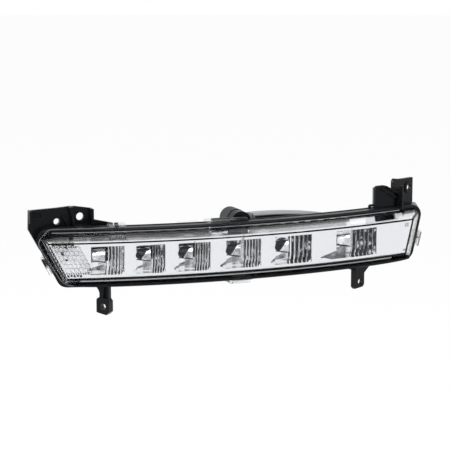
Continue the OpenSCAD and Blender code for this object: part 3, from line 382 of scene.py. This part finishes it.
def flange_group():
    """Tone of the reflector's sloping edge: painted shade and reflection in steps along X above and below the
    face, and two small marks.

    Matt is 1 where the edge is moulded plain, at the left end, at two stretches above and all along below.
    """
    g, a, result = new_group("flange_painted_dark", {"Before": 0.0}, ("Tone", "Matt"))
    place = g.place()
    x, z = g.x_and_z(place)
    patch = g.noise(g.scaled(place, (60, 60, 420)), 1.0, 3.0)
    # Dark bars above the face, from the left: painted shade and reflection
    left = g.ramp(x, -112.0, -119.0, 0.0, 0.9)
    middle = g.mul(g.window(x, -119.0, -112.0, 5.0, 30.0), 0.95)
    clip = g.mul(g.window(x, -16.0, -14.0, 7.0, 9.0), 0.75)
    late = g.mul(g.window(x, 5.0, 30.0, 88.0, 90.0), 0.5)
    dark = g.mul(g.window(x, 113.6, 114.6, 129.0, 130.5), 0.95)
    bar = g.mul(g.most(left, middle, late, dark, clip), g.ramp(patch, 0.3, 0.6, 0.65, 1.15))
    above = g.mul(bar, g.ramp(z, 12.2, 13.2))
    # Plain stretches
    beyond = g.mul(g.ramp(g.along_end(x, z), -12.1, -12.5), g.ramp(z, 13.6, 13.0))
    light = g.plus(g.window(x, 91.0, 93.0, 113.2, 113.8), g.window(x, 131.0, 132.0, 137.5, 138.5))
    beyond = g.most(beyond, g.mul(light, g.ramp(z, 13.0, 13.4)))
    under = g.ramp(z, -14.6, -15.2)
    # Painted shade: grey all along below the face, darker from X -3.5 to 11.5
    below = g.mul(under, g.plus(0.5, g.mul(g.window(x, -3.5, -2.0, 10.0, 11.5), 0.45)))
    # Two small marks at the right end
    mark = g.mul(g.window(x, 139.0, 139.6, 142.6, 143.2), g.window(z, 6.4, 7.0, 9.8, 10.4))
    foot = g.mul(g.window(x, 137.6, 138.2, 143.4, 143.8), g.window(z, -13.6, -13.0, -12.0, -11.4))
    marks = g.most(g.mul(mark, 0.4), g.mul(foot, 0.55))
    g.fill(result, {"Tone": g.most(a["Before"], above, below, marks), "Matt": g.most(beyond, under)})


def material(name):
    """Starts a material with a Principled shader that is joined to its output."""
    made = bpy.data.materials.new(name)
    made.use_nodes = True
    made.node_tree.nodes.clear()
    g = Graph(made.node_tree)
    shader = g.add("ShaderNodeBsdfPrincipled")
    out = g.add("ShaderNodeOutputMaterial", {0: shader.outputs[0]})
    return made, g, shader, out


def colour(value):
    return (*value, 1.0)


def grained(name, base, rough, scale=900.0, depth=0.15, spread=0.1, metallic=0.0, mottle=0.12,
            specular=0.5, edge=0.0):
    """A finish of one colour with moulded or cast grain and a slight mottle."""
    made, g, shader, _ = material(name)
    grain = g.group("moulded_grain", {"Scale": scale, "Depth": depth, "Roughness": rough, "Spread": spread})
    dark = tuple(c * (1 - mottle) for c in base)
    light = tuple(min(1.0, c * (1 + mottle)) for c in base)
    normal = grain.outputs["Normal"]
    if edge:
        # Moulded edges are slightly round, so they catch the light
        normal = g.add("ShaderNodeBevel", {"Radius": edge, "Normal": normal}, samples=4).outputs[0]
    g.fill(shader, {
        "Base Color": g.mix(grain.outputs["Mottle"], colour(dark), colour(light)), "Normal": normal,
        "Roughness": grain.outputs["Roughness"], "Metallic": metallic, "Specular IOR Level": specular})
    return made


def strap_mask(g, place):
    """1 on the thin snap straps over and under the rim, and on the thin lens wall at the left end."""
    x, z = g.x_and_z(place)
    lower_x = 7.7
    beside_lower = g.ramp(g.math("ABSOLUTE", g.sub(x, lower_x)), 11.5, 10.5)
    over = g.plus(g.ramp(z, 19.6, 20.4), g.mul(g.ramp(z, -22.5, -23.2), beside_lower))
    middle = g.mul(g.window(x, -20.5, -19.0, 9.5, 10.5), g.ramp(z, 16.6, 17.2))
    along = g.along_end(x, z)
    wall = g.mul(g.window(along, -20.0, -19.4, -13.2, -12.6), g.window(z, -17.4, -16.8, 13.0, 13.6))
    return g.most(wall, over, middle)


def clear_plastic(name, tint, rough=0.0, straps=0.0):
    """Clear plastic: glass for the eye, but shadow rays pass, so that light reaches what lies behind.

    Straps is the share of the thin straps and walls that lets every ray straight through.
    """
    made, g, shader, out = material(name)
    place = g.place()
    flow = g.noise(place, 60.0, 2.0)
    bump = g.add("ShaderNodeBump", {"Strength": 0.02, "Distance": 0.0002, "Height": flow})
    g.fill(shader, {
        "Base Color": colour(tint), "Transmission Weight": 1.0, "Metallic": 0.0, "IOR": 1.49,
        "Specular IOR Level": 0.2, "Specular Tint": (0.3, 0.3, 0.3, 1.0),
        "Roughness": g.ramp(flow, 0.3, 0.8, rough, rough + 0.02), "Normal": bump.outputs["Normal"]})
    path = g.add("ShaderNodeLightPath")
    through = g.add("ShaderNodeBsdfTransparent", {"Color": colour(tuple(0.96 * c for c in tint))})
    share = g.most(path.outputs["Is Shadow Ray"], path.outputs["Is Diffuse Ray"])
    if straps:
        share = g.most(share, g.mul(strap_mask(g, place), straps))
    blend = g.add("ShaderNodeMixShader", {0: share, 1: shader.outputs[0], 2: through.outputs[0]})
    g.fill(out, {0: blend.outputs[0]})
    return made


def metallised(name):
    """Bright vacuum coat, with reflections and shade painted dark where the tones of the dimpled end, the six
    cups and the sloping edge say.
    """
    made, g, shader, _ = material(name)
    finish = bpy.context.scene.lamp_finish
    # The tones are painted reflection and shade: 0 keeps the bright coat and 1 gives the painted dark
    tone = g.group("dimple_painted_dark").outputs["Tone"]
    for cup in CUPS:
        tone = g.group("cup_painted_dark", {"Before": tone, **dict(zip(CUP_INPUTS, cup))}).outputs["Tone"]
    edge = g.group("flange_painted_dark", {"Before": tone})
    grain = g.group("moulded_grain", {"Scale": 300.0, "Depth": 0.03, "Roughness": 0.12, "Spread": 0.05})
    g.fill(shader, {
        "Base Color": g.mix(edge.outputs["Tone"], colour(finish.bright), colour(finish.painted_dark)),
        "Metallic": g.sub(1.0, edge.outputs["Matt"]),
        "Roughness": grain.outputs["Roughness"], "Normal": grain.outputs["Normal"]})
    return made


def plan_y(x, depth):
    """Y of the sweep at X for a depth behind the lens front, all in millimetres.

    It is the centre's Y less the root of the square of the radius at that depth less the square of the
    distance from the centre along X.
    """
    return SWEEP_Y / MM - np.sqrt((SWEEP_R / MM - depth) ** 2 - (x - SWEEP_X / MM) ** 2)


def swept(x, depth, z, out=0.0):
    """Points at X, at a depth behind the lens front less the distance out along Y, and at height Z."""
    return np.stack([x, plan_y(x, depth) - out, np.broadcast_to(z, x.shape)], axis=-1)


def square_grid(rows, columns):
    """Two parameters from -1 to 1 over a grid."""
    return np.meshgrid(np.linspace(-1, 1, rows), np.linspace(-1, 1, columns), indexing="ij")


def grid_mesh(name, grids, made):
    """Makes one smooth mesh of surfaces: each grid holds rows and columns of points in millimetres."""
    points = np.concatenate([grid.reshape(-1, 3) for grid in grids]) * MM
    faces, start = [], 0
    for grid in grids:
        rows, columns = grid.shape[:2]
        index = np.arange(rows * columns).reshape(rows, columns) + start
        corners = [index[:-1, :-1], index[1:, :-1], index[1:, 1:], index[:-1, 1:]]
        faces.append(np.stack(corners, axis=-1).reshape(-1, 4))
        start += rows * columns
    faces = np.concatenate(faces)
    mesh = bpy.data.meshes.new(name)
    mesh.vertices.add(len(points))
    mesh.vertices.foreach_set("co", points.ravel())
    mesh.loops.add(faces.size)
    mesh.loops.foreach_set("vertex_index", faces.ravel().astype(np.int32))
    mesh.polygons.add(len(faces))
    mesh.polygons.foreach_set("loop_start", np.arange(0, faces.size, 4, dtype=np.int32))
    mesh.polygons.foreach_set("use_smooth", np.ones(len(faces), dtype=bool))
    mesh.update(calc_edges=True)
    mesh.validate()
    piece = bpy.data.objects.new(name, mesh)
    bpy.context.scene.collection.objects.link(piece)
    mesh.materials.append(made)
    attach(piece, "root")
    return piece


def tube(path, radius, sides=10):
    """A round bead along a path: at each point, a circle square to the path.

    The circle's two directions come from the path's own direction and the Z axis. The radius is one
    number, or one for each point of the path.
    """
    ahead = np.gradient(path, axis=0)
    ahead /= np.linalg.norm(ahead, axis=1, keepdims=True)
    side = np.cross(ahead, (0.0, 0.0, 1.0))
    side /= np.linalg.norm(side, axis=1, keepdims=True)
    up = np.cross(side, ahead)
    turn = np.linspace(0, 2 * np.pi, sides + 1)
    ring = np.cos(turn)[None, :, None] * side[:, None, :] + np.sin(turn)[None, :, None] * up[:, None, :]
    return path[:, None, :] + np.broadcast_to(radius, len(path))[:, None, None] * ring


def dress(node, made):
    """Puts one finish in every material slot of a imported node."""
    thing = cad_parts[node]
    if not thing.material_slots:
        thing.data.materials.append(made)
    for entry in thing.material_slots:
        entry.link = "OBJECT"
        entry.material = made


def cast_finish(name):
    """The grey cast metal of the driver cover."""
    finish = bpy.context.scene.lamp_finish
    return grained(name, finish.cast, 0.55, scale=700, depth=0.35, metallic=0.1, mottle=0.08, specular=0.3)


class LAMP_OT_finishes(bpy.types.Operator):
    """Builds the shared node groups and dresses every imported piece"""

    bl_idname = "lamp.finishes"
    bl_label = "Dress the packed pieces"

    def execute(self, context):
        f = context.scene.lamp_finish
        grain_group()
        cup_group()
        dimple_group()
        flange_group()
        dress("housing", grained(
            "moulded_black", f.black, f.black_gloss, scale=1400, depth=0.12, spread=0.12, mottle=0.2,
            specular=0.12, edge=0.0007))
        dress("outer_lens", clear_plastic("clear_lens", f.clear, straps=0.8))
        dress("end_optic", clear_plastic("clear_optic", f.clear, rough=0.01))
        dress("reflector", metallised("metallised"))
        dress("driver_cover", cast_finish("cast_aluminium"))
        dress("vent_cap", grained(
            "cap_rubber", f.rubber, 0.5, scale=1100, depth=0.2, spread=0.15, mottle=0.2, specular=0.3))
        for nodes, name, base, rough, grain in PLAIN_FINISHES:
            made = grained(name, base, rough, **grain)
            for node in nodes:
                dress(node, made)
        return {"FINISHED"}


class LAMP_OT_lens_beads(bpy.types.Operator):
    """Adds the fine grey beads along the bends of the lens wall: painted highlights of the bends"""

    bl_idname = "lamp.lens_beads"
    bl_label = "Add the lens beads"

    def execute(self, context):
        # Grey beads: painted highlights along the bends
        made = grained("lens_bead_painted_highlight", (0.32, 0.33, 0.34), 0.25, scale=900, depth=0.05, specular=0.5)
        # Height, depth, radius, and X of both ends, in millimetres
        beads = ((19.55, 14.6, 0.3, -144.0, 136.0), (-16.85, 3.0, 0.36, -122.0, 128.0))
        x = np.linspace(-144.0, 136.0, 240)
        grids = []
        for height, depth, radius, low, high in beads:
            along = x[(x >= low) & (x <= high)]
            grids.append(tube(swept(along, depth, height), radius))
        grid_mesh("lens_beads", grids, made)
        return {"FINISHED"}


class LAMP_OT_rim_bead(bpy.types.Operator):
    """Adds a grey bead round the rim at the left end: a painted highlight along the rim's edge"""

    bl_idname = "lamp.rim_bead"
    bl_label = "Add the rim bead"

    def execute(self, context):
        # A grey bead on the black rim: a painted highlight along its edge
        made = grained("rim_painted_highlight", (0.075, 0.077, 0.08), 0.28, scale=900, depth=0.05, specular=0.4)
        # Corners of the line, X and Z; a running mean over 15 of its points rounds them
        line = np.array((
            (-100.0, 22.7), (-146.5, 22.4), (-154.6, 13.0), (-154.0, 9.0), (-136.6, -19.6), (-131.5, -22.2),
            (-120.0, -22.6)))
        depth, radius = 14.3, 0.5
        reach = np.concatenate([[0], np.cumsum(np.linalg.norm(np.diff(line, axis=0), axis=1))])
        at = np.linspace(0, reach[-1], 260)
        mean = np.ones(15) / 15
        x, z = (np.convolve(np.interp(at, reach, line[:, k]), mean, mode="valid") for k in (0, 1))
        grid_mesh("rim_bead", [tube(swept(x, depth, z), radius)], made)
        return {"FINISHED"}


class LAMP_OT_rim_lip(bpy.types.Operator):
    """Adds the rounded lower lip of the rim, in front of the housing's lower edge"""

    bl_idname = "lamp.rim_lip"
    bl_label = "Add the rim lip"

    def execute(self, context):
        finish = context.scene.lamp_finish
        made = grained("lip_black", finish.black, 0.4, scale=1400, depth=0.1, mottle=0.2, specular=0.12)
        middle, half, height, depth = 9.0, 137.0, -22.25, 13.4
        share = np.linspace(-1, 1, 260)
        # The radius falls to nearly nothing at both ends by the tenth power of the distance from the middle
        radius = 1.8 * np.sqrt(np.clip(1 - share ** 10, 0, 1)) + 0.02
        path = swept(middle + half * share, depth, height)
        grid_mesh("rim_lip", [tube(path, radius, sides=16)], made)
        return {"FINISHED"}


class LAMP_OT_end_prisms(bpy.types.Operator):
    """Adds the rows of small roof prisms round the dimpled end, coloured near black as painted dark reflections
    """

    bl_idname = "lamp.end_prisms"
    bl_label = "Add the end prisms"

    def execute(self, context):
        # Near black: a painted dark reflection on the prisms
        made = grained("prism_painted_dark", (0.006, 0.0065, 0.008), 0.3, scale=900, depth=0.03, specular=0.1)
        # Middle of each prism, X and Z, and its length along and across
        top = [(x, 11.6 + 0.25 * (k % 2), 2.3, 1.15) for k, x in enumerate(np.linspace(-142.5, -127.6, 7))]
        low = [(x, -13.2 + 0.4 * (k % 2), 1.7, 1.3) for k, x in enumerate(np.linspace(-131.0, -121.4, 5))]
        dots = [(-132.6, 9.4, 1.4, 1.2), (-135.4, 4.6, 1.7, 1.5), (-132.3, -0.2, 1.8, 1.5)]
        side = [(-145.6 + 0.505 * (11.2 - z), z, 1.05, 1.9) for z in np.linspace(9.6, -12.6, 9)]
        depth, high = 5.55, 0.55
        u, v = square_grid(9, 9)
        # The roof falls from its ridge in proportion to the distance across, and rounds off at its ends
        crown = high * np.clip(1 - np.abs(v), 0, 1) * np.sqrt(np.clip(1 - u ** 4, 0, 1))
        grids = []
        for x, z, length, height in top + low + dots + side:
            px = x + u * length / 2 - v * height / 2 * END_LEAN / 2
            grids.append(swept(px, depth, z + v * height / 2, out=crown))
        grid_mesh("end_prisms", grids, made)
        return {"FINISHED"}


class LAMP_OT_clip_catch(bpy.types.Operator):
    """Adds the black catches of the clips: on the lens wall, over and under the rim, and at the left"""

    bl_idname = "lamp.clip_catch"
    bl_label = "Add the clip catch"

    def execute(self, context):
        finish = context.scene.lamp_finish
        made = grained("catch_black", finish.black, 0.35, scale=1400, depth=0.1, mottle=0.2, specular=0.2)
        u, v = square_grid(33, 25)
        # Each plate is a low pillow: its crown falls off by the sixth power of the distance from the middle
        crown = np.sqrt(np.clip(1 - u ** 6, 0, 1) * np.clip(1 - v ** 6, 0, 1))
        # The first plate lies on the lens wall, which rises from its front with the depth
        wall_z, wall_front, wall_rise = 13.0, 2.0, 0.47
        depth = 8.9 + 2.6 * v
        plate = swept(0.8 + 7.9 * u, depth, wall_z + (depth - wall_front) * wall_rise + 0.9 * crown)
        hook = swept(1.2 + 7.6 * u, 22.0 + 3.2 * v, 22.6 + 2.6 * crown)
        lower = swept(6.5 + 8.0 * u, 19.5 + 3.5 * v, -23.6 - 1.7 * crown)
        # The small hook at the left is a ball stretched along the slanted rim
        lat, lon = np.meshgrid(np.linspace(0, np.pi, 17), np.linspace(0, 2 * np.pi, 25), indexing="ij")
        along = 3.1 * np.cos(lat)
        x = -150.0 - 0.52 * along + 1.9 * np.sin(lat) * np.cos(lon)
        left = np.stack([x, -15.3 + 1.6 * np.sin(lat) * np.sin(lon), -4.1 + along], axis=-1)
        grid_mesh("clip_catch", [plate, hook, lower, left], made)
        return {"FINISHED"}


class LAMP_OT_cover_lip(bpy.types.Operator):
    """Adds the rounded front lip of the driver cover, down to the housing's top"""

    bl_idname = "lamp.cover_lip"
    bl_label = "Add the cover lip"

    def execute(self, context):
        made = cast_finish("lip_aluminium")
        # The cover stands square to the sweep at its middle. Its top is an arc, and the lip rises above it
        cover_x, cover_top, arch_x, arch_r = 44.0, 23.5, -26.8, 340.0
        lip_rise, lip_depth, lip_back, housing_top = 1.6, 3.4, 2.2, 17.6
        radius = SWEEP_R / MM - HOUSING_D
        turn = math.asin((cover_x - SWEEP_X / MM) / radius)
        u, v = np.meshgrid(np.linspace(-34.4, 33.5, 120), np.linspace(0, 1, 24), indexing="ij")
        # Over the first half of v the front is a quarter ellipse, and then it falls straight to the housing
        crown = cover_top - arch_r + np.sqrt((arch_r + lip_rise) ** 2 - (u - arch_x) ** 2)
        bend = np.clip(v / 0.5, 0, 1) * np.pi / 2
        fall = np.clip((v - 0.5) / 0.5, 0, 1)
        back = lip_back - (lip_depth - u ** 2 / (2 * radius)) * np.sin(bend) - 0.25 * fall
        high = crown - lip_rise * (1 - np.cos(bend))
        high = high + (housing_top - high) * fall
        x = SWEEP_X / MM + (radius - back) * math.sin(turn) + u * math.cos(turn)
        y = SWEEP_Y / MM - (radius - back) * math.cos(turn) + u * math.sin(turn)
        grid_mesh("cover_lip", [np.stack([x, y, high], axis=-1)], made)
        return {"FINISHED"}


def make_floor(scene, settings):
    """Pale floor for light, and white for rays from the camera, from gloss and through glass."""
    made, g, shader, out = material("studio_floor")
    speck = g.noise(g.place(), 6.0, 2.0)
    g.fill(shader, {"Base Color": g.mix(speck, (0.86, 0.86, 0.86, 1), (0.9, 0.9, 0.9, 1)), "Roughness": 0.9})
    white = g.add("ShaderNodeEmission", {"Color": (1, 1, 1, 1), "Strength": 1.0})
    share = g.mul(g.seen(), 0.93)
    blend = g.add("ShaderNodeMixShader", {0: share, 1: shader.outputs[0], 2: white.outputs[0]})
    g.fill(out, {0: blend.outputs[0]})
    half, z = 8.0, settings.floor_z
    corners = [(-half, -half, z), (half, -half, z), (half, half, z), (-half, half, z)]
    mesh = bpy.data.meshes.new("floor")
    mesh.from_pydata(corners, [], [(0, 1, 2, 3)])
    floor = bpy.data.objects.new("floor", mesh)
    scene.collection.objects.link(floor)
    floor.data.materials.append(made)


def make_world(scene, settings):
    """Even light, and white where it is seen."""
    world = bpy.data.worlds.new("studio")
    scene.world = world
    world.use_nodes = True
    world.node_tree.nodes.clear()
    g = Graph(world.node_tree)
    strength = g.ramp(g.seen(), 0.0, 1.0, settings.sky, 1.0)
    back = g.add("ShaderNodeBackground", {"Color": (1, 1, 1, 1), "Strength": strength})
    g.add("ShaderNodeOutputWorld", {0: back.outputs[0]})


def make_lamps(scene, settings):
    """A large soft key at the front left, one above behind, a thin strip above and a tall one at the left."""
    target = (0, 0.03, 0)
    # Name, place, power as a share of the key's, width and depth
    for name, where, share, width, depth in (
        ("key_light", (-0.9, -1.1, 1.3), 1.0, 1.2, 1.2),
        ("top_light", (0.3, 0.5, 1.5), 0.5, 1.0, 1.0),
        ("strip_light", (0.0, -0.25, 1.2), 0.25, 2.0, 0.12),
        ("left_light", (-1.3, -0.12, 0.4), 1.2, 0.25, 0.9),
    ):
        data = bpy.data.lights.new(name, "AREA")
        data.shape = "RECTANGLE"
        data.energy, data.size, data.size_y = settings.key * share, width, depth
        lamp = bpy.data.objects.new(name, data)
        scene.collection.objects.link(lamp)
        point_at(lamp, where, target)


def make_camera(scene, settings):
    """A camera that looks at its aim from its distance and elevation."""
    data = bpy.data.cameras.new("camera")
    data.sensor_width = 36
    data.lens = settings.lens
    data.shift_y = settings.shift
    data.clip_start, data.clip_end = 0.05, 50
    camera = bpy.data.objects.new("camera", data)
    scene.collection.objects.link(camera)
    aim = np.array(settings.aim)
    away = np.array((0, -math.cos(settings.elevation), math.sin(settings.elevation)))
    point_at(camera, tuple(aim + settings.distance * away), tuple(aim))
    scene.camera = camera


def point_at(thing, where, target):
    """Places a lamp or camera and turns its -Z axis to a target, with its Y axis up."""
    thing.location = where
    thing.rotation_mode = "QUATERNION"
    thing.rotation_quaternion = (Vector(target) - Vector(where)).to_track_quat("-Z", "Y")


class LAMP_OT_studio(bpy.types.Operator):
    """Makes the floor, the world, the lamps and the camera"""

    bl_idname = "lamp.studio"
    bl_label = "Build the studio"

    def execute(self, context):
        scene = context.scene
        scene.view_settings.view_transform = "Standard"
        make_floor(scene, scene.lamp_studio)
        make_world(scene, scene.lamp_studio)
        make_lamps(scene, scene.lamp_studio)
        make_camera(scene, scene.lamp_studio)
        return {"FINISHED"}


class LAMP_PT_panel(bpy.types.Panel):
    """Lists the lamp's settings and operators"""

    bl_label = "Daytime Running Light"
    bl_idname = "LAMP_PT_panel"
    bl_space_type = "VIEW_3D"
    bl_region_type = "UI"
    bl_category = "Lamp"

    def draw(self, context):
        for group in (context.scene.lamp_finish, context.scene.lamp_studio):
            for name in group.__annotations__:
                self.layout.prop(group, name)
        for operator in OPERATORS:
            self.layout.operator(operator.bl_idname)


OPERATORS = (
    LAMP_OT_studio, LAMP_OT_finishes, LAMP_OT_lens_beads, LAMP_OT_rim_bead, LAMP_OT_rim_lip,
    LAMP_OT_end_prisms, LAMP_OT_clip_catch, LAMP_OT_cover_lip)
CLASSES = (LampFinish, LampStudio, *OPERATORS, LAMP_PT_panel)


def register():
    for item in CLASSES:
        bpy.utils.register_class(item)
    bpy.types.Scene.lamp_finish = bpy.props.PointerProperty(type=LampFinish)
    bpy.types.Scene.lamp_studio = bpy.props.PointerProperty(type=LampStudio)


def unregister():
    del bpy.types.Scene.lamp_studio
    del bpy.types.Scene.lamp_finish
    for item in reversed(CLASSES):
        bpy.utils.unregister_class(item)


def main():
    register()
    bpy.ops.lamp.studio()
    bpy.ops.lamp.finishes()
    bpy.ops.lamp.lens_beads()
    bpy.ops.lamp.rim_bead()
    bpy.ops.lamp.rim_lip()
    bpy.ops.lamp.end_prisms()
    bpy.ops.lamp.clip_catch()
    bpy.ops.lamp.cover_lip()


if __name__ == "__main__":
    main()
